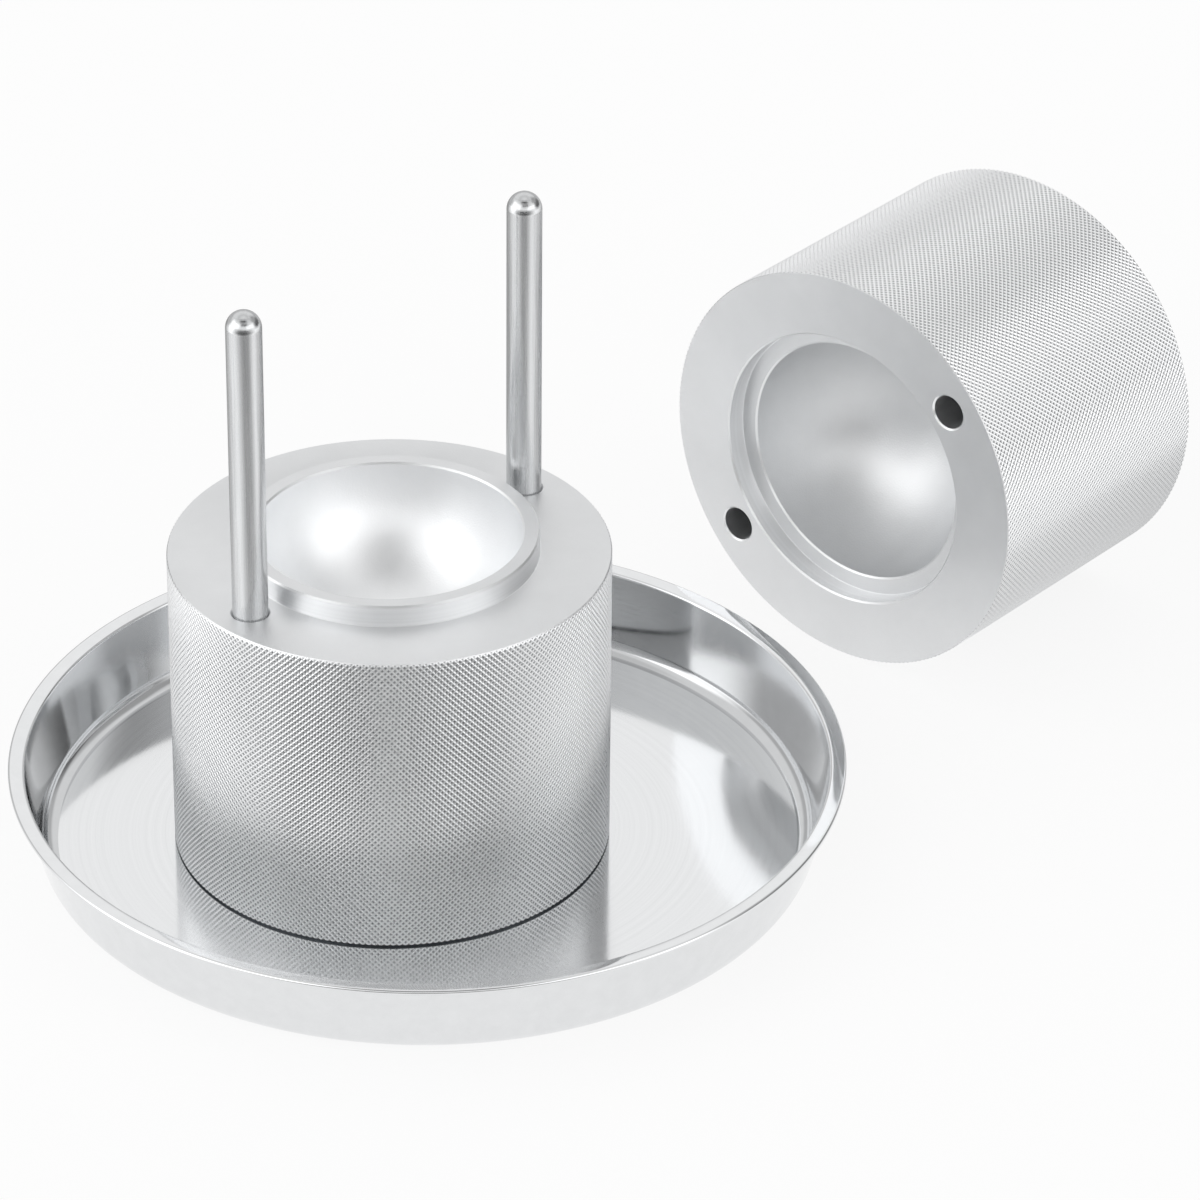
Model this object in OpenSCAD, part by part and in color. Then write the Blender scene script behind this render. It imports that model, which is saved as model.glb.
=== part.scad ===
// Ice ball press: two heavy turned moulds, each with half of a ball-shaped cavity. The upper mould
// slides down two guide pins that stand in the lower mould, and the lower mould stands in a drip tray.
// The upper mould is drawn beside the tray, lying on its side with its cavity facing the front.
// All sizes are in millimetres. The origin is the middle of the tray's underside, on the table.

/* [Moulds] */
// Height of the lower mould from its base to its flat face
lower_h = 74; // [60:1:90]
// Length of the upper mould from its flat face to its far end
upper_h = 72; // [55:1:74]
// Chamfer round the base of the lower mould and the far end of the upper mould
outer_chamfer = 1; // [0.5:0.1:2]
// Chamfer round the flat face of each mould
face_chamfer = 0.5; // [0.2:0.1:1.5]

/* [Ice ball] */
// Diameter of the ball that the closed moulds form
ball_d = 60; // [40:1:66]
// Broken edge round the mouth of each half cavity
cavity_edge = 0.4; // [0.1:0.1:1]

/* [Locating collar] */
// Wall of the raised collar round the lower cavity
collar_wall = 3.8; // [2.5:0.1:6]
// Height of the collar above the flat face
collar_h = 5; // [3:0.5:8]
// Radial clearance between the collar and the recess that fits over it
collar_fit = 0.5; // [0.3:0.05:0.7]
// Space left above the collar when the two flat faces meet
collar_headroom = 0.2; // [0.1:0.05:0.5]
// Chamfer round the mouth of the recess and the top of the collar
collar_edge = 0.4; // [0.2:0.1:0.6]

/* [Guide pins] */
// Diameter of each guide pin
pin_d = 8; // [6:0.5:12]
// Height of each pin above the lower mould's flat face
pin_stand = 75.3; // [70:0.1:90]
// Depth of each pin's blind bore
pin_seat = 25; // [15:1:35]
// Flat metal between the recess in the upper mould and each pin
pin_land = 2.7; // [2:0.1:6]
// Metal between each pin and the moulds' side
pin_wall = 5; // [3:0.1:10]
// Turn of the line through both pins, from the X axis
pin_turn = 42.5; // [0:0.5:180]
// Radial clearance of a pin in its bore in the lower mould
pin_fit = 0.05; // [0.02:0.01:0.1]
// Radial clearance of a pin in its guide hole in the upper mould
guide_fit = 0.15; // [0.1:0.05:0.25]
// Countersink round the mouth of each bore and guide hole
hole_edge = 0.4; // [0.2:0.05:0.5]

/* [Drip tray] */
// Diameter of the flat underside of the tray
tray_base_d = 170; // [150:1:200]
// Overall height of the tray
tray_h = 20.6; // [15:0.1:35]
// Thickness of the sheet that the tray is pressed from
tray_sheet = 0.9; // [0.6:0.1:1.5]
// Outside radius of the bend between floor and wall
tray_bend = 4.8; // [3:0.1:8]
// Outward lean of the wall from upright, in degrees
tray_lean = 11.5; // [5:0.5:25]
// Width of the rim from the inside of the wall to its outer edge
rim_w = 3.9; // [3:0.1:8]
// Thickness of the rim's folded outer edge
rim_edge = 1.4; // [1:0.1:2.5]
// Radius where the inside of the wall turns into the rim
rim_bend = 0.9; // [0.5:0.1:1.5]
// Rise of the rim from its inner side to its outer edge
rim_rise = 0.3; // [0:0.1:0.5]

/* [Places] */
// Place of the lower mould's axis in the tray, along X
lower_x = -8.2; // [-15:0.1:15]
// Place of the lower mould's axis in the tray, along Y
lower_y = 0.2; // [-15:0.1:15]
// Direction of the lying upper mould's axis, clockwise from the Y axis
upper_turn = 41.4; // [20:0.1:70]
// Space between the tray's rim and the upper mould's flat face, along the mould's axis
upper_gap = 28; // [5:0.5:60]
// Sideways place of the upper mould's axis from the middle of the tray
upper_shift = 20.6; // [-40:0.1:40]
// Roll of the line through the guide holes, up from level
upper_roll = 41; // [0:0.5:180]

/* [Hidden] */

// The moulds are as wide as the ball, the collar and the pins need
ball_r = ball_d / 2;
collar_r = ball_r + collar_wall;
recess_r = collar_r + collar_fit;
recess_depth = collar_h + collar_headroom;
pin_r = pin_d / 2;
pin_reach = recess_r + pin_land + pin_r;
mould_r = pin_reach + pin_r + pin_wall;
bore_r = pin_r + pin_fit;
guide_r = pin_r + guide_fit;

// Radius and height at which the tray's wall starts above the bend, outside and inside
base_r = tray_base_d / 2;
inner_bend = tray_bend - tray_sheet;
rim_under = tray_h - rim_edge;
wall_rise = rim_under - tray_bend * (1 - sin(tray_lean));
wall_top_r = base_r + tray_bend * cos(tray_lean) + wall_rise * tan(tray_lean);
wall_inside_r = wall_top_r - tray_sheet / cos(tray_lean);
rim_r = wall_inside_r + rim_w;
rim_round = rim_edge / 2;
rim_inner_z = tray_h - rim_rise;

// The lower mould stands on the tray's floor
lower_z = tray_sheet;
face_z = lower_z + lower_h;
upper_reach = rim_r + upper_gap;

smooth = 128;
round_steps = 8;
cut = 0.5;

// Colours as photographed
aluminium = [0.83, 0.84, 0.85];
pin_steel = [0.7, 0.71, 0.72];
tray_steel = [0.78, 0.79, 0.8];

// Points along an arc round [x, y] in a turned outline
function arc(x, y, r, from, to) =
    [for (i = [0:round_steps]) let (a = from + (to - from) * i / round_steps)
        [x + r * cos(a), y + r * sin(a)]];

// A turned cylinder that stands on Z = 0, with a chamfer below and one above
module turned(r, h, below, above) {
    rotate_extrude($fn = smooth)
        polygon([[0, 0], [r - below, 0], [r, below], [r, h - above], [r - above, h], [0, h]]);
}

// A round hole that starts at the mouth, at Z = 0, and goes down, with a chamfer round its mouth
module hole(r, depth, edge) {
    translate([0, 0, -depth]) cylinder(h = depth + cut, r = r, $fn = smooth);
    translate([0, 0, -edge]) cylinder(h = edge + cut, r1 = r, r2 = r + edge + cut, $fn = smooth);
}

// Half of the ball's cavity, below its mouth at Z = 0
module half_cavity() {
    sphere(r = ball_r, $fn = smooth);
    translate([0, 0, -cavity_edge])
        cylinder(h = cavity_edge + cut, r1 = ball_r, r2 = ball_r + cavity_edge + cut, $fn = smooth);
}

// Puts its children on both pin axes
module at_pins() {
    for (side = [-1, 1]) translate([side * pin_reach, 0, 0]) children();
}

// A pin that stands on Z = 0: a broken lower edge, a straight shaft and a domed tip
module guide_pin() {
    shaft_h = pin_seat + pin_stand - pin_r;
    rotate_extrude($fn = smooth)
        polygon(concat([[0, 0], [pin_r - hole_edge, 0], [pin_r, hole_edge]],
            arc(0, shaft_h, pin_r, 0, 90)));
}

// Turns its children into the place of the standing lower mould
module in_lower_place() {
    translate([lower_x, lower_y, 0]) rotate([0, 0, pin_turn]) children();
}

// Turns its children, drawn with the face down on Z = 0, into the place of the lying upper mould
module in_upper_place() {
    rotate([0, 0, -upper_turn])
        translate([upper_shift, upper_reach, mould_r])
            rotate([-90, 0, 0]) rotate([0, 0, -upper_roll]) children();
}

// Shallow round tray, pressed from sheet, with a flat rim folded under at its outer edge
module drip_tray() {
    color(tray_steel) rotate_extrude($fn = smooth)
        polygon(concat(
            [[0, 0]],
            arc(base_r, tray_bend, tray_bend, -90, -tray_lean),
            [[wall_top_r, rim_under]],
            arc(rim_r - rim_round, tray_h - rim_round, rim_round, -90, 90),
            arc(wall_inside_r + rim_bend, rim_inner_z - rim_bend, rim_bend, 90, 180 - tray_lean),
            arc(base_r, tray_bend, inner_bend, -tray_lean, -90),
            [[0, tray_sheet]]));
}

// Lower mould: half cavity inside a raised collar, and a blind bore for each pin
module lower_mould() {
    color(aluminium) in_lower_place() translate([0, 0, lower_z]) difference() {
        union() {
            turned(mould_r, lower_h, outer_chamfer, face_chamfer);
            turned(collar_r, lower_h + collar_h, 0, collar_edge);
        }
        translate([0, 0, lower_h + collar_h]) half_cavity();
        translate([0, 0, lower_h]) at_pins() hole(bore_r, pin_seat, hole_edge);
    }
}

module guide_pin_left() {
    color(pin_steel) in_lower_place() translate([-pin_reach, 0, face_z - pin_seat]) guide_pin();
}

module guide_pin_right() {
    color(pin_steel) in_lower_place() translate([pin_reach, 0, face_z - pin_seat]) guide_pin();
}

// Upper mould: half cavity at the bottom of a recess for the collar, and two guide holes right through
module upper_mould() {
    color(aluminium) in_upper_place() difference() {
        turned(mould_r, upper_h, face_chamfer, outer_chamfer);
        rotate([180, 0, 0]) hole(recess_r, recess_depth, collar_edge);
        translate([0, 0, recess_depth]) rotate([180, 0, 0]) half_cavity();
        at_pins() {
            rotate([180, 0, 0]) hole(guide_r, upper_h + cut, hole_edge);
            translate([0, 0, upper_h]) hole(guide_r, cut, hole_edge);
        }
    }
}

drip_tray();
lower_mould();
guide_pin_left();
guide_pin_right();
upper_mould();
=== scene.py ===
"""Ice ball press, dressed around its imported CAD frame.

Two turned aluminium moulds with a diamond knurl round their sides, two steel guide pins and a
polished drip tray. Each piece is drawn round its own Z axis and then moved to its place in the
frame. Its points also keep the places that they were drawn at, which the materials follow.
Lengths are in metres, written through MM.
"""

import math

import bpy
import numpy as np
from mathutils import Matrix, Vector
from mathutils.geometry import delaunay_2d_cdt


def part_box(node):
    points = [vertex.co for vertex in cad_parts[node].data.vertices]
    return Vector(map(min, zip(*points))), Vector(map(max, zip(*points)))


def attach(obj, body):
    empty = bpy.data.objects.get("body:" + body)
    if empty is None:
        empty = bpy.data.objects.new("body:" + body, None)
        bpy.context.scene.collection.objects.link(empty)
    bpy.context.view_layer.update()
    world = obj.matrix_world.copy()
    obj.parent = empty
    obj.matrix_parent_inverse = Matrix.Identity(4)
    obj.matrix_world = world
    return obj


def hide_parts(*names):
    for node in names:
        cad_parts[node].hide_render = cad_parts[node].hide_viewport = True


MM = 0.001
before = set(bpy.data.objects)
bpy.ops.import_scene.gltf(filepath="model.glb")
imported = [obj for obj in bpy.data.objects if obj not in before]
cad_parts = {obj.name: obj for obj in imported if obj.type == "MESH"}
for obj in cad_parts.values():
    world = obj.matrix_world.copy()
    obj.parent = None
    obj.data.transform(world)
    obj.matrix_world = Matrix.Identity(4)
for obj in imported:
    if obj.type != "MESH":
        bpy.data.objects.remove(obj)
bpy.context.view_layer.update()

# ---------------------------------------------------------------- sizes

# What both moulds share
FACE_CHAMFER = 0.25 * MM
BALL_R = 30.0 * MM
CAVITY_EDGE = 0.4 * MM
COLLAR_R = 33.8 * MM
COLLAR_H = 5.0 * MM
COLLAR_EDGE = 0.4 * MM
RECESS_R = 34.3 * MM
RECESS_DEPTH = 5.2 * MM
CORNER_R = 0.25 * MM

# Chamfers round the lower mould's base and the upper mould's far end
BASE_CHAMFER = 0.5 * MM
END_CHAMFER = 1.0 * MM

# Guide pins, their bores and the guide holes
PIN_R = 4.0 * MM
PIN_REACH = 41.0 * MM
PIN_SEAT = 25.0 * MM
PIN_TURN = math.radians(42.5)
PIN_EDGE = 0.4 * MM
BORE_R = 4.05 * MM
GUIDE_R = 4.15 * MM
HOLE_EDGE = 0.4 * MM

# Diamond knurl: pits round the side, the pitch of its rows, its depth, the lean of its columns, and
# the share of its depth, down from the crests, that keeps full colour above the painted shade in
# the pits
KNURL_ROUND = 230
KNURL_PITCH = 1.44 * MM
KNURL_DEPTH = 0.2 * MM
KNURL_LEAN = math.radians(2.4)
KNURL_UNSHADED = 0.25

# Lying upper mould: its length, the space from the tray's rim to its face, how far its axis passes
# from the tray's middle, the direction of that axis from +Y, and the roll of its guide holes
UPPER_H = 72.0 * MM
UPPER_GAP = 28.0 * MM
UPPER_SHIFT = 20.6 * MM
UPPER_TURN = math.radians(41.4)
UPPER_ROLL = math.radians(41.0)

# Drip tray
TRAY_BASE_R = 85.0 * MM
TRAY_SHEET = 0.9 * MM
TRAY_BEND = 4.8 * MM
TRAY_LEAN = math.radians(11.5)
RIM_W = 3.9 * MM
RIM_EDGE = 1.4 * MM
RIM_BEND = 0.9 * MM
RIM_RISE = 0.3 * MM
UNDER_BEND = 1.6 * MM

# Steps round each kind of turned surface
KNURL_STEPS = 2 * KNURL_ROUND
BODY_STEPS = 240
HOLE_STEPS = 72
PIN_STEPS = 96
TRAY_STEPS = 360

# Steps along each kind of arc in an outline, and rings across the tray's floor
CORNER_ARC = 3
RIM_ARC = 8
BEND_ARC = 10
TIP_ARC = 14
BOWL_ARC = 48
FLOOR_RINGS = 6

# Edges that turn by more than this are sharp
SHARP_ANGLE = math.radians(28)
# Points of a flat face that are closer than this are one point
PLATE_TOLERANCE = 1e-9

# The photograph's camera: its width and focal length in pixels, and its optical axis across it
PHOTO_PX = 1200
FOCAL_PX = 6259
AXIS_PX = 500
SENSOR_MM = 36
CAMERA_AT = Vector((16.6, -1209.0, 787.4)) * MM
CAMERA_PITCH = math.radians(30.98)
CAMERA_NEAR = 0.05
CAMERA_FAR = 30

# Pale floor: half of its width, how far it lies below the tray's underside, its paint, and the
# share of plain white that the camera and reflections see
FLOOR_HALF = 6.0
FLOOR_SINK = 0.1 * MM
FLOOR_PAINT = (0.95, 0.95, 0.95, 1)
FLOOR_WHITE = 0.85

# The studio is lit evenly, with patches that add or take light: gain, lower and upper elevation,
# and for one that doesn't go all round the azimuth of its middle and half of its width. Angles are
# in degrees, with azimuth 0 at the camera's side and 90 at the right
STUDIO_LEVEL = 1.0
STUDIO_PATCHES = (
    (-0.36, -10, 24),  # dimmer near the horizon
    (-0.2, 57, 75),  # dimmer ring overhead
    (1.0, 10, 42, -64, 34),  # soft box at the left
    (1.0, 10, 33, 52, 27),  # soft box at the right
    (0.5, 12, 30, 0, 24),  # fill in front
    (-0.56, -10, 10, 0, 32),  # dark below the fill
    (1.3, -10, 10, -80, 22),  # bright foot of the left side
    (0.6, -10, 10, 74, 16),  # bright foot of the right side
    (-0.9, 33, 48, 8, 24),  # dark above the fill
    (-0.75, 57, 75, 0, 42),  # dark part of the ring overhead
    (-0.5, 0, 52, 108, 24),  # dim corner behind the right side
)
# Softness of the patches' edges, up and round, in degrees
STUDIO_SOFT_UP = 4
STUDIO_SOFT_ROUND = 12

# Glowing rings on the floor that only reflections see, painted light and shade for the metal to
# reflect, near the object and further off: azimuth in degrees, level
NEAR_GLOW = (
    (-180, 0.4), (-125, 0.5), (-90, 0.95), (-50, 1.4), (-12, 0.5), (20, 0.55),
    (52, 1.4), (88, 0.8), (115, 0.7), (130, 0.4), (180, 0.4),
)
FAR_GLOW = (
    (-180, 0.45), (-134, 0.4), (-78, 1.9), (-36, 0.3), (-18, 0.1), (16, 0.1),
    (35, 0.4), (74, 1.5), (98, 1.3), (130, 0.8), (180, 0.45),
)
# Inner and outer radius of each, their step in degrees, and their height above the table
NEAR_REACH = (0.15, 0.4)
FAR_REACH = (0.4, 2.8)
GLOW_STEP = 4
TABLE_LIFT = 0.5 * MM

# ---------------------------------------------------------------- places, from the frame


def middle(low, high):
    return (low + high) / 2


tray_low, tray_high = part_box("drip_tray")
lower_low, lower_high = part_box("lower_mould")
upper_low, upper_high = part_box("upper_mould")

TRAY_RIM_R = (tray_high.x - tray_low.x) / 2
TRAY_H = tray_high.z
MOULD_R = (upper_high.z - upper_low.z) / 2
LOWER_BASE = lower_low.z
LOWER_FACE = lower_high.z - COLLAR_H

lower_axis = middle(lower_low, lower_high)
lower_place = (
    Matrix.Translation((lower_axis.x, lower_axis.y, 0)) @ Matrix.Rotation(PIN_TURN, 4, "Z")
)

upper_axis = Vector((math.sin(UPPER_TURN), math.cos(UPPER_TURN), 0))
upper_side = Vector((math.cos(UPPER_TURN), -math.sin(UPPER_TURN), 0))
upper_pins = upper_side * math.cos(UPPER_ROLL) + Vector((0, 0, math.sin(UPPER_ROLL)))
upper_face = upper_axis * (TRAY_RIM_R + UPPER_GAP) + upper_side * UPPER_SHIFT
upper_face.z = middle(upper_low, upper_high).z
upper_place = Matrix.Translation(upper_face) @ Matrix(
    (upper_pins, upper_axis.cross(upper_pins), upper_axis)
).transposed().to_4x4()


def pin_place(node):
    """A pin's place: upright on its own axis and turned with the mould, with Z = 0 at its seat."""
    low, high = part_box(node)
    at = middle(low, high)
    return Matrix.Translation((at.x, at.y, low.z)) @ Matrix.Rotation(PIN_TURN, 4, "Z")


# ---------------------------------------------------------------- mesh building

# Name of the attribute that keeps the place where each point was drawn
TURNED = "turned"


def add_object(name, data):
    """Puts a mesh or a camera into the scene."""
    obj = bpy.data.objects.new(name, data)
    bpy.context.scene.collection.objects.link(obj)
    return obj


class Solid:
    """Collects the points and faces of one piece, with a finish for each face."""

    def __init__(self):
        self.points, self.faces, self.finish, self.flat = [], [], [], []

    def ring(self, r, z, steps, turn=0.0, at=(0.0, 0.0)):
        """Adds points round the axis at height z, and returns their numbers.

        The points take the radii in turn where r is a tuple.
        """
        radii = r if isinstance(r, tuple) else (r,)
        first = len(self.points)
        for i in range(steps):
            a = turn + 2 * math.pi * i / steps
            ri = radii[i % len(radii)]
            self.points.append((at[0] + ri * math.cos(a), at[1] + ri * math.sin(a), z))
        return list(range(first, first + steps))

    def face(self, corners, finish, flat=False):
        self.faces.append(corners)
        self.finish.append(finish)
        self.flat.append(flat)

    def bridge(self, a, b, finish):
        """Quads between two rings of the same number of points."""
        n = len(a)
        for i in range(n):
            j = (i + 1) % n
            self.face((a[i], a[j], b[j], b[i]), finish)

    def cap(self, ring, tip, finish):
        """Closes a ring to a point on the axis."""
        self.points.append(tip)
        end = len(self.points) - 1
        for i in range(len(ring)):
            self.face((ring[i], ring[(i + 1) % len(ring)], end), finish)

    def turned(self, start, outline, steps, finish, turn=0.0, at=(0.0, 0.0)):
        """Carries on from a ring through the outline's (radius, height) points.

        Returns the last ring. A radius of 0 closes the surface instead.
        """
        ring = start
        for r, z in outline:
            if r <= 0:
                self.cap(ring, (at[0], at[1], z), finish)
                return None
            following = self.ring(r, z, steps, turn, at)
            self.bridge(ring, following, finish)
            ring = following
        return ring

    def plate(self, rings, finish):
        """A flat face inside the first ring and outside the others."""
        numbers = [n for ring in rings for n in ring]
        flat = [Vector(self.points[n][:2]) for n in numbers]
        edges, first = [], 0
        for ring in rings:
            k = len(ring)
            edges += [(first + i, first + (i + 1) % k) for i in range(k)]
            first += k
        made = delaunay_2d_cdt(flat, edges, [], 0, PLATE_TOLERANCE)
        coords, tris, came_from = made[0], made[2], made[3]
        holes = []
        for ring in rings[1:]:
            p = np.array([self.points[n][:2] for n in ring])
            c = p.mean(0)
            holes.append((c, np.linalg.norm(p[0] - c)))
        for tri in tris:
            c = np.mean([coords[i][:] for i in tri], axis=0)
            if any(np.linalg.norm(c - h) < r for h, r in holes):
                continue
            self.face(tuple(numbers[came_from[i][0]] for i in tri), finish, flat=True)

    def knurl(self, z0, z1, finish):
        """Crossed ridges with a pit in each diamond, between two heights. Returns its end rings."""
        crest, pit = MOULD_R, MOULD_R - KNURL_DEPTH
        rows = 2 * round((z1 - z0) / KNURL_PITCH)
        rings = []
        for j in range(rows + 1):
            z = z0 + (z1 - z0) * j / rows
            radii = (crest, pit) if j % 2 == 0 else (pit, crest)
            rings.append(self.ring(radii, z, KNURL_STEPS, knurl_turn(z)))
        for j in range(rows):
            low, high = rings[j], rings[j + 1]
            for i in range(KNURL_STEPS):
                k = (i + 1) % KNURL_STEPS
                # Each quad is split along its ridge, which joins two crests
                if (i + j) % 2 == 0:
                    tris = ((low[i], low[k], high[k]), (low[i], high[k], high[i]))
                else:
                    tris = ((low[i], low[k], high[i]), (low[k], high[k], high[i]))
                for tri in tris:
                    self.face(tri, finish, flat=True)
        return rings[0], rings[-1]

    def build(self, name, place, finishes):
        """Makes the object, with all its faces flipped when its volume comes out negative, smooth
        turned faces and sharp machined edges.
        """
        mesh = bpy.data.meshes.new(name)
        mesh.from_pydata(self.points, [], self.faces)
        for finish in finishes:
            mesh.materials.append(finish)
        mesh.polygons.foreach_set("material_index", self.finish)
        mesh.polygons.foreach_set("use_smooth", [not f for f in self.flat])
        mesh.set_sharp_from_angle(angle=SHARP_ANGLE)
        mesh.validate()
        mesh.update()
        # The sign of the enclosed volume tells whether the faces look outward
        volume = sum(
            Vector(mesh.vertices[p.vertices[0]].co).dot(
                Vector(mesh.vertices[p.vertices[1]].co).cross(mesh.vertices[p.vertices[2]].co)
            )
            for p in mesh.polygons
        )
        if volume < 0:
            mesh.flip_normals()
        turned = mesh.attributes.new(TURNED, "FLOAT_VECTOR", "POINT")
        turned.data.foreach_set("vector", np.array(self.points, np.float32).ravel())
        mesh.transform(place)
        return add_object(name, mesh)


def knurl_turn(z):
    """How far the knurl's columns have turned at height z."""
    return math.tan(KNURL_LEAN) * z / MOULD_R


def arc(x, z, r, start, end, steps):
    """Points along an arc round (x, z), from one angle to another, in degrees."""
    angles = [math.radians(start + (end - start) * i / steps) for i in range(steps + 1)]
    return [(x + r * math.cos(a), z + r * math.sin(a)) for a in angles]


# ---------------------------------------------------------------- node trees


class Graph:
    """A node tree, with short ways to add to it. A value is a number or another node's output."""

    def __init__(self, owner):
        owner.use_nodes = True
        self.nodes, self.links = owner.node_tree.nodes, owner.node_tree.links

    def add(self, kind, **settings):
        node = self.nodes.new(kind)
        for key, value in settings.items():
            setattr(node, key, value)
        return node

    def feed(self, value, socket):
        if isinstance(value, (int, float)):
            socket.default_value = value
        else:
            self.links.new(value, socket)

    def filled(self, kind, *values, **settings):
        """Adds a node, feeds its inputs in their order, and returns its first output."""
        node = self.add(kind, **settings)
        for socket, value in zip(node.inputs, values):
            self.feed(value, socket)
        return node.outputs[0]

    def math(self, operation, *values):
        return self.filled("ShaderNodeMath", *values, operation=operation)

    def split(self, vector):
        node = self.add("ShaderNodeSeparateXYZ")
        self.feed(vector, node.inputs[0])
        return node.outputs

    def length(self, x, y):
        return self.math(
            "SQRT", self.math("ADD", self.math("MULTIPLY", x, x), self.math("MULTIPLY", y, y))
        )


# ---------------------------------------------------------------- materials

# The span that a noise texture mostly keeps to
NOISE_LOW, NOISE_HIGH = 0.3, 0.7


class Finish(Graph):
    """A metal material that is built up node by node."""

    def __init__(self, name, colour, roughness):
        self.material = bpy.data.materials.new(name)
        super().__init__(self.material)
        self.shader = self.nodes["Principled BSDF"]
        self.shader.inputs["Metallic"].default_value = 1.0
        self.shader.inputs["Base Color"].default_value = (*colour, 1)
        self.shader.inputs["Roughness"].default_value = roughness
        self.turned = self.add("ShaderNodeAttribute", attribute_name=TURNED).outputs["Vector"]

    def radius(self):
        """Distance from the piece's axis."""
        x, y, _ = self.split(self.turned)
        return self.length(x, y)

    def height(self):
        """Place along the piece's axis."""
        return self.split(self.turned)[2]

    def place(self, x, y, z):
        return self.filled("ShaderNodeCombineXYZ", x, y, z)

    def noise(self, at, scale, detail=3.0, rough=0.55):
        node = self.add("ShaderNodeTexNoise")
        self.feed(at, node.inputs["Vector"])
        node.inputs["Scale"].default_value = scale
        node.inputs["Detail"].default_value = detail
        node.inputs["Roughness"].default_value = rough
        return node.outputs["Fac"]

    def lathe_marks(self, scale, detail):
        """Noise that stays the same round the axis, as the marks of a lathe tool do."""
        return self.noise(self.place(self.radius(), 0.0, self.height()), scale, detail, rough=0.6)

    def range(self, value, low, high, from_low=NOISE_LOW, from_high=NOISE_HIGH):
        node = self.add("ShaderNodeMapRange")
        self.feed(value, node.inputs["Value"])
        node.inputs["From Min"].default_value = from_low
        node.inputs["From Max"].default_value = from_high
        node.inputs["To Min"].default_value = low
        node.inputs["To Max"].default_value = high
        return node.outputs["Result"]

    def tint(self, value, dark, light):
        """Colour that runs from dark to light as value runs from 0 to 1."""
        node = self.add("ShaderNodeMix", data_type="RGBA")
        self.feed(value, node.inputs["Factor"])
        node.inputs["A"].default_value = (*dark, 1)
        node.inputs["B"].default_value = (*light, 1)
        self.feed(node.outputs["Result"], self.shader.inputs["Base Color"])

    def rough(self, value):
        self.feed(value, self.shader.inputs["Roughness"])

    def bump(self, height, distance, strength):
        node = self.add("ShaderNodeBump")
        node.inputs["Distance"].default_value = distance
        node.inputs["Strength"].default_value = strength
        self.feed(height, node.inputs["Height"])
        self.feed(node.outputs["Normal"], self.shader.inputs["Normal"])


def grey(v, cool=0.008):
    """A neutral metal colour with a little blue."""
    return (v - cool, v, v + cool)


def blasted_aluminium(name, shade, roughness):
    """Fine bead-blasted surface: a soft even sheen with a tiny grain."""
    f = Finish(name, grey(shade), roughness)
    cloud = f.noise(f.turned, scale=60, detail=4)
    f.tint(f.range(cloud, 0, 1), grey(shade * 0.97), grey(shade * 1.03))
    f.rough(f.range(cloud, roughness - 0.03, roughness + 0.03))
    f.bump(f.noise(f.turned, scale=2400, detail=2), distance=0.05 * MM, strength=0.8)
    return f.material


def knurled_aluminium():
    """Knurled side: painted shade in the pits, darkest at their bottom, under crests at full
    colour, by the distance from the axis.
    """
    f = Finish("knurled_aluminium", grey(0.8), 0.3)
    unshaded_from = MOULD_R - KNURL_UNSHADED * KNURL_DEPTH
    height = f.range(f.radius(), 0, 1, MOULD_R - KNURL_DEPTH, unshaded_from)
    # Painted shade: the pits are painted dark, from 0.15 at their bottom up to full colour near the
    # crests
    f.tint(height, grey(0.15), grey(0.98))
    cloud = f.noise(f.turned, scale=900)
    f.rough(f.range(cloud, 0.26, 0.36))
    f.bump(cloud, distance=0.03 * MM, strength=0.4)
    return f.material


def turned_aluminium(name, shade, roughness):
    """Surface with the fine rings of a lathe tool."""
    f = Finish(name, grey(shade), roughness)
    rings = f.lathe_marks(scale=1400, detail=3)
    f.tint(f.range(rings, 0, 1), grey(shade * 0.95), grey(shade * 1.03))
    f.rough(f.range(rings, roughness - 0.05, roughness + 0.05))
    f.bump(rings, distance=0.01 * MM, strength=0.5)
    return f.material


def drilled_aluminium():
    """Drilled hole wall, with the marks of the drill across it."""
    f = Finish("drilled_aluminium", grey(0.8), 0.45)
    marks = f.noise(f.place(0.0, 0.0, f.height()), scale=1500, detail=2)
    f.rough(f.range(marks, 0.35, 0.5))
    f.bump(marks, distance=0.02 * MM, strength=0.4)
    return f.material


def drawn_steel():
    """Pin shaft: long grain along the axis."""
    f = Finish("drawn_steel", grey(0.62), 0.24)
    stretched = f.add("ShaderNodeVectorMath", operation="MULTIPLY")
    f.feed(f.turned, stretched.inputs[0])
    stretched.inputs[1].default_value = (1, 1, 0.02)
    grain = f.noise(stretched.outputs[0], scale=2600)
    f.tint(f.range(grain, 0, 1), grey(0.56), grey(0.68))
    f.rough(f.range(grain, 0.2, 0.32))
    f.bump(grain, distance=0.01 * MM, strength=0.5)
    return f.material


def domed_steel():
    """Domed tip of a pin: fine rings round the axis, which draw the light out to the pole."""
    f = Finish("domed_steel", grey(0.64), 0.2)
    rings = f.lathe_marks(scale=5000, detail=2)
    f.tint(f.range(rings, 0, 1), grey(0.6), grey(0.68))
    f.rough(f.range(rings, 0.16, 0.22))
    f.bump(rings, distance=0.04 * MM, strength=0.6)
    return f.material


def polished_steel(name, shade, roughness):
    """Mirror polish with faint wiping marks."""
    f = Finish(name, grey(shade), roughness)
    marks = f.noise(f.turned, scale=240, detail=5, rough=0.6)
    f.tint(f.range(marks, 0, 1), grey(shade * 0.98), grey(shade * 1.02))
    f.rough(f.range(marks, roughness * 0.8, roughness * 1.3))
    f.bump(f.noise(f.turned, scale=30, detail=2), distance=0.02 * MM, strength=0.15)
    return f.material


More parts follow.
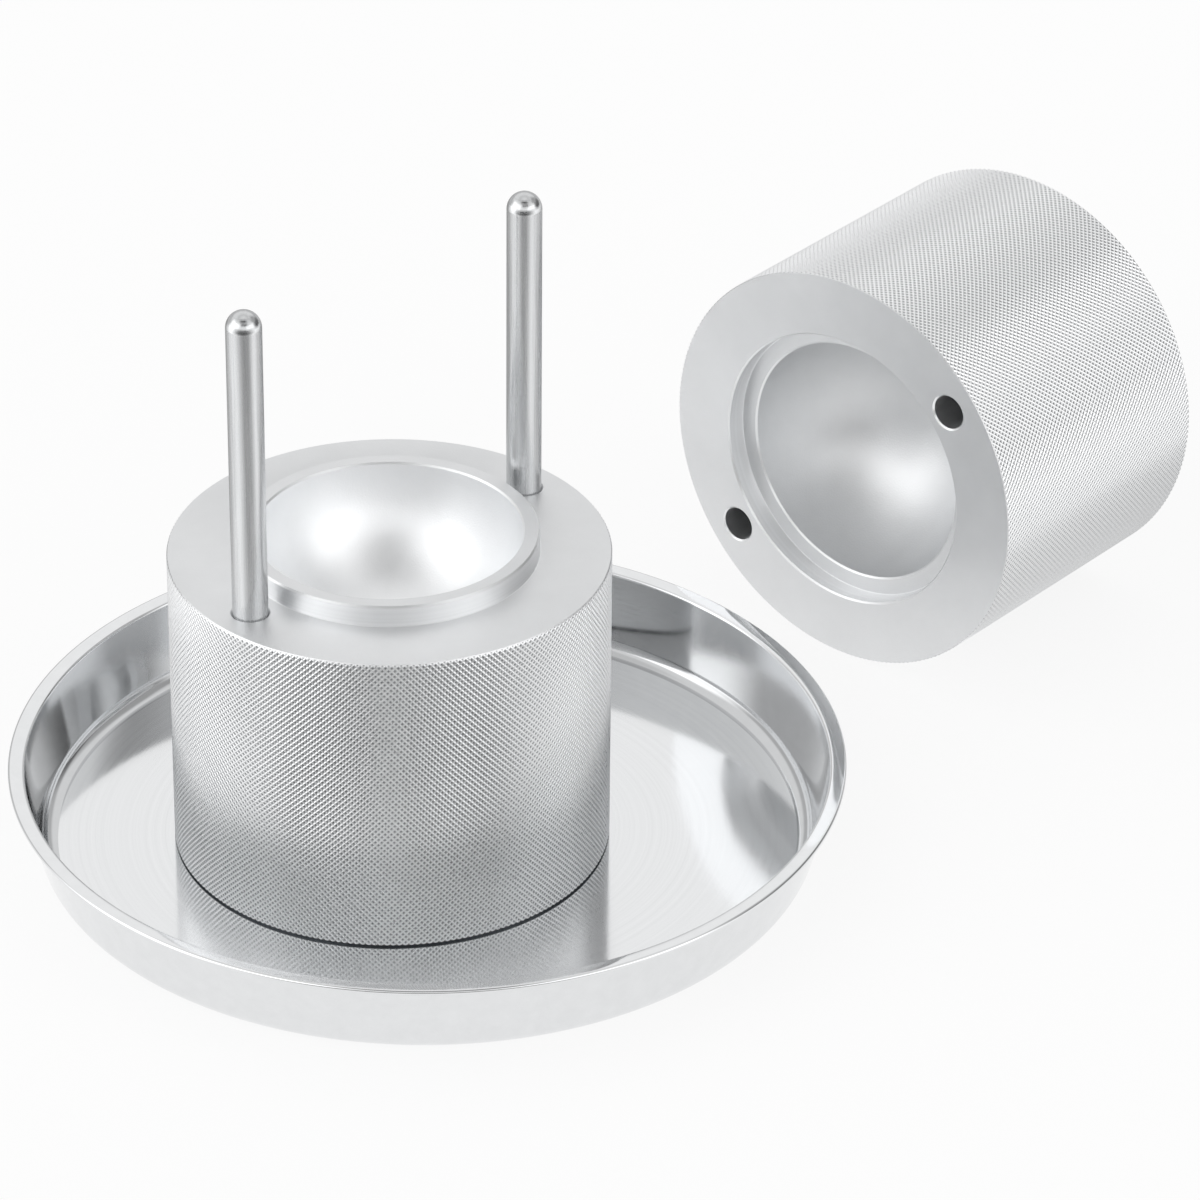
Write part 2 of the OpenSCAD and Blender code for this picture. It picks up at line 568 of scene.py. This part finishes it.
def spun_steel():
    """Tray floor: polished, with fine rings from spinning."""
    f = Finish("spun_steel", grey(0.84), 0.1)
    rings = f.noise(f.place(f.radius(), 0.0, 0.0), scale=900, detail=4, rough=0.7)
    f.tint(f.range(rings, 0, 1), grey(0.77), grey(0.83))
    f.rough(f.range(rings, 0.07, 0.12))
    f.bump(rings, distance=0.01 * MM, strength=0.25)
    return f.material


satin = blasted_aluminium("satin_aluminium", 0.79, 0.42)
satin_bowl = blasted_aluminium("satin_bowl", 0.82, 0.44)
# The lower mould's cavity: a little smoother than the upper one, and painted lighter, which is
# painted light standing in for its bright highlights
bowl_painted_light = blasted_aluminium("bowl_painted_light", 0.95, 0.4)
turned_wall = turned_aluminium("turned_aluminium", 0.92, 0.4)
turned_edge = turned_aluminium("bright_edge", 0.92, 0.36)
knurled = knurled_aluminium()
drilled = drilled_aluminium()
# The lower mould's base chamfer: aluminium painted nearly black, a painted contact shadow where it
# stands on the tray
heel_painted_shadow = turned_aluminium("heel_painted_shadow", 0.1, 0.45)
domed = domed_steel()
drawn = drawn_steel()
mirror = polished_steel("mirror_steel", 0.79, 0.05)
# Inside of the tray's wall: the same steel as the outside, painted darker as painted shade
shaded_wall_mirror = polished_steel("wall_steel_painted_shade", 0.6, 0.07)
spun = spun_steel()

# ---------------------------------------------------------------- moulds

# Order of the finishes on a mould. Only the lower mould has the last, round its base, which is
# painted dark as a contact shadow
SATIN, BOWL, KNURL, DRILLED, EDGE, TURNED_WALL, HEEL = range(7)
# Where both pins stand, along the line through them
PIN_SPOTS = ((-PIN_REACH, 0), (PIN_REACH, 0))


def blind_bore(solid, at):
    """A pin's bore, down from the lower mould's face. Returns its mouth ring."""
    bottom = LOWER_FACE - PIN_SEAT
    mouth = solid.ring(BORE_R + HOLE_EDGE, LOWER_FACE, HOLE_STEPS, at=at)
    outline = [(BORE_R, LOWER_FACE - HOLE_EDGE), (BORE_R, bottom), (0, bottom)]
    solid.turned(mouth, outline, HOLE_STEPS, DRILLED, at=at)
    return mouth


def guide_hole(solid, at):
    """A guide hole, right through the upper mould. Returns the rings at its two ends."""
    mouth = solid.ring(GUIDE_R + HOLE_EDGE, 0, HOLE_STEPS, at=at)
    neck = solid.turned(mouth, [(GUIDE_R, HOLE_EDGE)], HOLE_STEPS, EDGE, at=at)
    end = solid.turned(neck, [(GUIDE_R, UPPER_H - HOLE_EDGE)], HOLE_STEPS, DRILLED, at=at)
    out = solid.turned(end, [(GUIDE_R + HOLE_EDGE, UPPER_H)], HOLE_STEPS, EDGE, at=at)
    return mouth, out


def half_cavity(solid, rim, mouth, inward):
    """Flat rim, broken edge and half ball, in from the ring rim at height mouth.

    inward is +1 or -1, the way to the bottom along Z.
    """
    start = math.asin(CAVITY_EDGE / BALL_R)
    angles = [start + (math.pi / 2 - start) * i / BOWL_ARC for i in range(BOWL_ARC)]
    bowl = [(BALL_R * math.cos(a), mouth + inward * BALL_R * math.sin(a)) for a in angles]
    bowl.append((0, mouth + inward * BALL_R))
    lip = solid.turned(rim, [(BALL_R + CAVITY_EDGE, mouth)], BODY_STEPS, SATIN)
    edge = solid.turned(lip, bowl[:1], BODY_STEPS, EDGE)
    solid.turned(edge, bowl[1:], BODY_STEPS, BOWL)


def make_lower_mould():
    s = Solid()
    face, top = LOWER_FACE, LOWER_FACE + COLLAR_H
    z0, z1 = LOWER_BASE + BASE_CHAMFER, face - FACE_CHAMFER
    foot, shoulder = s.knurl(z0, z1, KNURL)
    base_outline = [(MOULD_R - BASE_CHAMFER, LOWER_BASE)]
    heel = s.turned(foot, base_outline, KNURL_STEPS, HEEL, knurl_turn(z0))
    s.plate([heel], SATIN)
    brim = s.turned(shoulder, [(MOULD_R - FACE_CHAMFER, face)], KNURL_STEPS, SATIN, knurl_turn(z1))
    mouths = [blind_bore(s, at) for at in PIN_SPOTS]
    collar_foot = s.ring(COLLAR_R + CORNER_R, face, BODY_STEPS)
    s.plate([brim, collar_foot] + mouths, SATIN)
    fillet = arc(COLLAR_R + CORNER_R, face + CORNER_R, CORNER_R, -90, -180, CORNER_ARC)[1:]
    wall_outline = fillet + [(COLLAR_R, top - COLLAR_EDGE)]
    wall = s.turned(collar_foot, wall_outline, BODY_STEPS, TURNED_WALL)
    crown = s.turned(wall, [(COLLAR_R - COLLAR_EDGE, top)], BODY_STEPS, EDGE)
    half_cavity(s, crown, top, -1)
    finishes = [satin, bowl_painted_light, knurled, drilled, turned_edge, turned_wall, heel_painted_shadow]
    return s.build("lower_mould_body", lower_place, finishes)


def make_upper_mould():
    s = Solid()
    z0, z1 = FACE_CHAMFER, UPPER_H - END_CHAMFER
    foot, shoulder = s.knurl(z0, z1, KNURL)
    brim = s.turned(foot, [(MOULD_R - FACE_CHAMFER, 0)], KNURL_STEPS, SATIN, knurl_turn(z0))
    end_outline = [(MOULD_R - END_CHAMFER, UPPER_H)]
    heel = s.turned(shoulder, end_outline, KNURL_STEPS, SATIN, knurl_turn(z1))
    holes = [guide_hole(s, at) for at in PIN_SPOTS]
    step = s.ring(RECESS_R + COLLAR_EDGE, 0, BODY_STEPS)
    s.plate([brim, step] + [mouth for mouth, _ in holes], SATIN)
    s.plate([heel] + [out for _, out in holes], SATIN)
    wall = s.turned(step, [(RECESS_R, COLLAR_EDGE)], BODY_STEPS, EDGE)
    corner = arc(RECESS_R - CORNER_R, RECESS_DEPTH - CORNER_R, CORNER_R, 0, 90, CORNER_ARC)
    recess_floor = s.turned(wall, corner, BODY_STEPS, TURNED_WALL)
    half_cavity(s, recess_floor, RECESS_DEPTH, 1)
    finishes = [satin, satin_bowl, knurled, drilled, turned_edge, turned_wall]
    return s.build("upper_mould_body", upper_place, finishes)


# ---------------------------------------------------------------- pins

# Order of the finishes on a pin
SHAFT, TIP = range(2)


def make_pin(node):
    low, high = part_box(node)
    length = high.z - low.z
    dome_z = length - PIN_R
    s = Solid()
    start = s.ring(PIN_R - PIN_EDGE, 0, PIN_STEPS)
    s.cap(start, (0, 0, 0), SHAFT)
    shaft = s.turned(start, [(PIN_R, PIN_EDGE), (PIN_R, dome_z)], PIN_STEPS, SHAFT)
    dome = arc(0, dome_z, PIN_R, 0, 90, TIP_ARC)[1:-1] + [(0, length)]
    s.turned(shaft, dome, PIN_STEPS, TIP)
    return s.build(node + "_bar", pin_place(node), [drawn, domed])


# ---------------------------------------------------------------- tray

# Order of the finishes on the tray: outside and rim, floor and underside, inside of the wall, which
# is the same steel painted darker as shade
OUTSIDE, SPUN, WALL = range(3)


def make_tray():
    lean = math.degrees(TRAY_LEAN)
    inside = TRAY_RIM_R - RIM_W
    round_r = RIM_EDGE / 2
    under = TRAY_H - RIM_EDGE
    # Radius at which the outside of the wall, carried on straight, would meet the rim's underside
    rise = under - TRAY_BEND * (1 - math.sin(TRAY_LEAN))
    wall_top = TRAY_BASE_R + TRAY_BEND * math.cos(TRAY_LEAN) + rise * math.tan(TRAY_LEAN)
    # The bend under the rim starts on the wall, at the height where its arc touches it
    bend_z = under - UNDER_BEND
    wall_r = wall_top - UNDER_BEND * (1 - math.sin(TRAY_LEAN)) * math.tan(TRAY_LEAN)
    bend_r = wall_r + UNDER_BEND * math.cos(TRAY_LEAN)
    foot_bend = arc(TRAY_BASE_R, TRAY_BEND, TRAY_BEND, -90, -lean, BEND_ARC)[1:]
    rim_under = arc(bend_r, bend_z, UNDER_BEND, 180 - lean, 90, RIM_ARC)
    edge = arc(TRAY_RIM_R - round_r, TRAY_H - round_r, round_r, -90, 90, BEND_ARC)
    lip_z = TRAY_H - RIM_RISE - RIM_BEND
    lip = arc(inside + RIM_BEND, lip_z, RIM_BEND, 90, 180 - lean, RIM_ARC)
    well_bend = arc(TRAY_BASE_R, TRAY_BEND, TRAY_BEND - TRAY_SHEET, -lean, -90, BEND_ARC)
    floor = [(TRAY_BASE_R * k / FLOOR_RINGS, TRAY_SHEET) for k in range(FLOOR_RINGS - 1, -1, -1)]
    s = Solid()
    start = s.ring(TRAY_BASE_R, 0, TRAY_STEPS)
    s.cap(start, (0, 0, 0), SPUN)
    ring = s.turned(start, foot_bend + rim_under + edge + lip, TRAY_STEPS, OUTSIDE)
    ring = s.turned(ring, well_bend, TRAY_STEPS, WALL)
    s.turned(ring, floor, TRAY_STEPS, SPUN)
    return s.build("drip_tray_shell", Matrix.Identity(4), [mirror, spun, shaded_wall_mirror])


# ---------------------------------------------------------------- pieces on their bodies


def dress(obj, node, body):
    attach(obj, body)
    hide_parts(node)


dress(make_tray(), "drip_tray", "tray")
dress(make_lower_mould(), "lower_mould", "lower")
dress(make_upper_mould(), "upper_mould", "upper")
dress(make_pin("guide_pin_left"), "guide_pin_left", "left_pin")
dress(make_pin("guide_pin_right"), "guide_pin_right", "right_pin")

# ---------------------------------------------------------------- stage


class Stage(Graph):
    """The material of the floor or of the glowing rings, without the metal shader."""

    def __init__(self, name):
        self.material = bpy.data.materials.new(name)
        super().__init__(self.material)
        self.nodes.remove(self.nodes["Principled BSDF"])
        self.surface = self.nodes["Material Output"].inputs["Surface"]

    def seen(self):
        """1 for rays from the camera, mirrors or glass, else 0."""
        rays = self.add("ShaderNodeLightPath").outputs
        total = rays["Is Camera Ray"]
        for name in ("Is Glossy Ray", "Is Transmission Ray"):
            total = self.math("MAXIMUM", total, rays[name])
        return total


def make_floor():
    """Pale floor: white to the camera, with the object's soft shadow kept on it."""
    mesh = bpy.data.meshes.new("floor")
    corners = ((-1, -1), (1, -1), (1, 1), (-1, 1))
    points = [(x * FLOOR_HALF, y * FLOOR_HALF, -FLOOR_SINK) for x, y in corners]
    mesh.from_pydata(points, [], [(0, 1, 2, 3)])
    look = Stage("floor_white")
    paint = look.add("ShaderNodeBsdfDiffuse")
    paint.inputs["Color"].default_value = FLOOR_PAINT
    white = look.add("ShaderNodeEmission")
    share = look.math("MULTIPLY", look.seen(), FLOOR_WHITE)
    shader = look.filled("ShaderNodeMixShader", share, paint.outputs[0], white.outputs[0])
    look.feed(shader, look.surface)
    mesh.materials.append(look.material)
    floor = add_object("floor", mesh)


def make_glow_ring(name, reach, stops):
    """A glowing ring on the floor that only reflections see, which paints light and shade into the
    metal's reflections, between two distances from the origin.

    Its level runs smoothly through the (azimuth, level) stops.
    """
    azimuths = range(-180, 181, GLOW_STEP)
    n = len(azimuths)
    points = [
        (math.sin(a) * distance, -math.cos(a) * distance, TABLE_LIFT)
        for distance in reach
        for a in map(math.radians, azimuths)
    ]
    mesh = bpy.data.meshes.new(name)
    mesh.from_pydata(points, [], [(i, i + 1, i + n + 1, i + n) for i in range(n - 1)])
    at, levels = zip(*stops)
    attribute = mesh.attributes.new("level", "FLOAT", "POINT")
    attribute.data.foreach_set("value", np.tile(np.interp(azimuths, at, levels), len(reach)))
    look = Stage(name + "_reflected_glow")
    level = look.add("ShaderNodeAttribute", attribute_name="level")
    # Painted reflection: the ring glows brighter or darker by azimuth, and only the metal shows it
    glow = look.add("ShaderNodeEmission")
    look.feed(level.outputs["Fac"], glow.inputs["Strength"])
    look.feed(glow.outputs[0], look.surface)
    mesh.materials.append(look.material)
    ring = add_object(name, mesh)
    ring.visible_camera = ring.visible_diffuse = ring.visible_shadow = False


class Studio(Graph):
    """The world as a studio: an even level with soft patches, brighter or dimmer, by direction."""

    def __init__(self, level):
        world = bpy.context.scene.world or bpy.data.worlds.new("studio")
        bpy.context.scene.world = world
        super().__init__(world)
        direction = self.add("ShaderNodeTexCoord").outputs["Generated"]
        self.x, self.y, self.z = self.split(direction)
        self.across = self.length(self.x, self.y)
        self.level = level

    def fade(self, value, start, end):
        """0 before start and 1 past end, with a soft step between."""
        node = self.add("ShaderNodeMapRange", interpolation_type="SMOOTHSTEP")
        self.feed(value, node.inputs["Value"])
        node.inputs["From Min"].default_value = start
        node.inputs["From Max"].default_value = end
        return node.outputs["Result"]

    def above(self, elevation):
        """1 above an elevation and 0 below it."""
        start, end = (
            math.sin(math.radians(elevation + side * STUDIO_SOFT_UP)) for side in (-1, 1)
        )
        return self.fade(self.z, start, end)

    def near(self, azimuth, half):
        """1 within half of an azimuth and 0 outside."""
        a = math.radians(azimuth)
        ahead = self.math(
            "SUBTRACT",
            self.math("MULTIPLY", self.x, math.sin(a)),
            self.math("MULTIPLY", self.y, math.cos(a)),
        )
        start, end = (math.cos(math.radians(half + side * STUDIO_SOFT_ROUND)) for side in (1, -1))
        return self.fade(self.math("DIVIDE", ahead, self.across), start, end)

    def patch(self, gain, low, high, azimuth=None, half=None):
        """Adds gain between two elevations, all round or within half of an azimuth, in degrees."""
        below = self.math("SUBTRACT", 1.0, self.above(high))
        share = self.math("MULTIPLY", self.above(low), below)
        if azimuth is not None:
            share = self.math("MULTIPLY", share, self.near(azimuth, half))
        self.level = self.math("ADD", self.level, self.math("MULTIPLY", share, gain))

    def light(self):
        level = self.math("MAXIMUM", self.level, 0.0)
        self.feed(level, self.nodes["Background"].inputs["Color"])


def make_world():
    studio = Studio(STUDIO_LEVEL)
    for patch in STUDIO_PATCHES:
        studio.patch(*patch)
    studio.light()


def make_camera():
    data = bpy.data.cameras.new("camera")
    data.sensor_width = SENSOR_MM
    data.lens = FOCAL_PX / PHOTO_PX * SENSOR_MM
    data.shift_x = 0.5 - AXIS_PX / PHOTO_PX
    data.clip_start, data.clip_end = CAMERA_NEAR, CAMERA_FAR
    camera = add_object("camera", data)
    camera.location = CAMERA_AT
    camera.rotation_euler = (math.pi / 2 - CAMERA_PITCH, 0, 0)
    bpy.context.scene.camera = camera


make_floor()
make_world()
make_glow_ring("near_glow_ring", NEAR_REACH, NEAR_GLOW)
make_glow_ring("far_glow_ring", FAR_REACH, FAR_GLOW)
make_camera()
bpy.context.scene.view_settings.view_transform = "Standard"
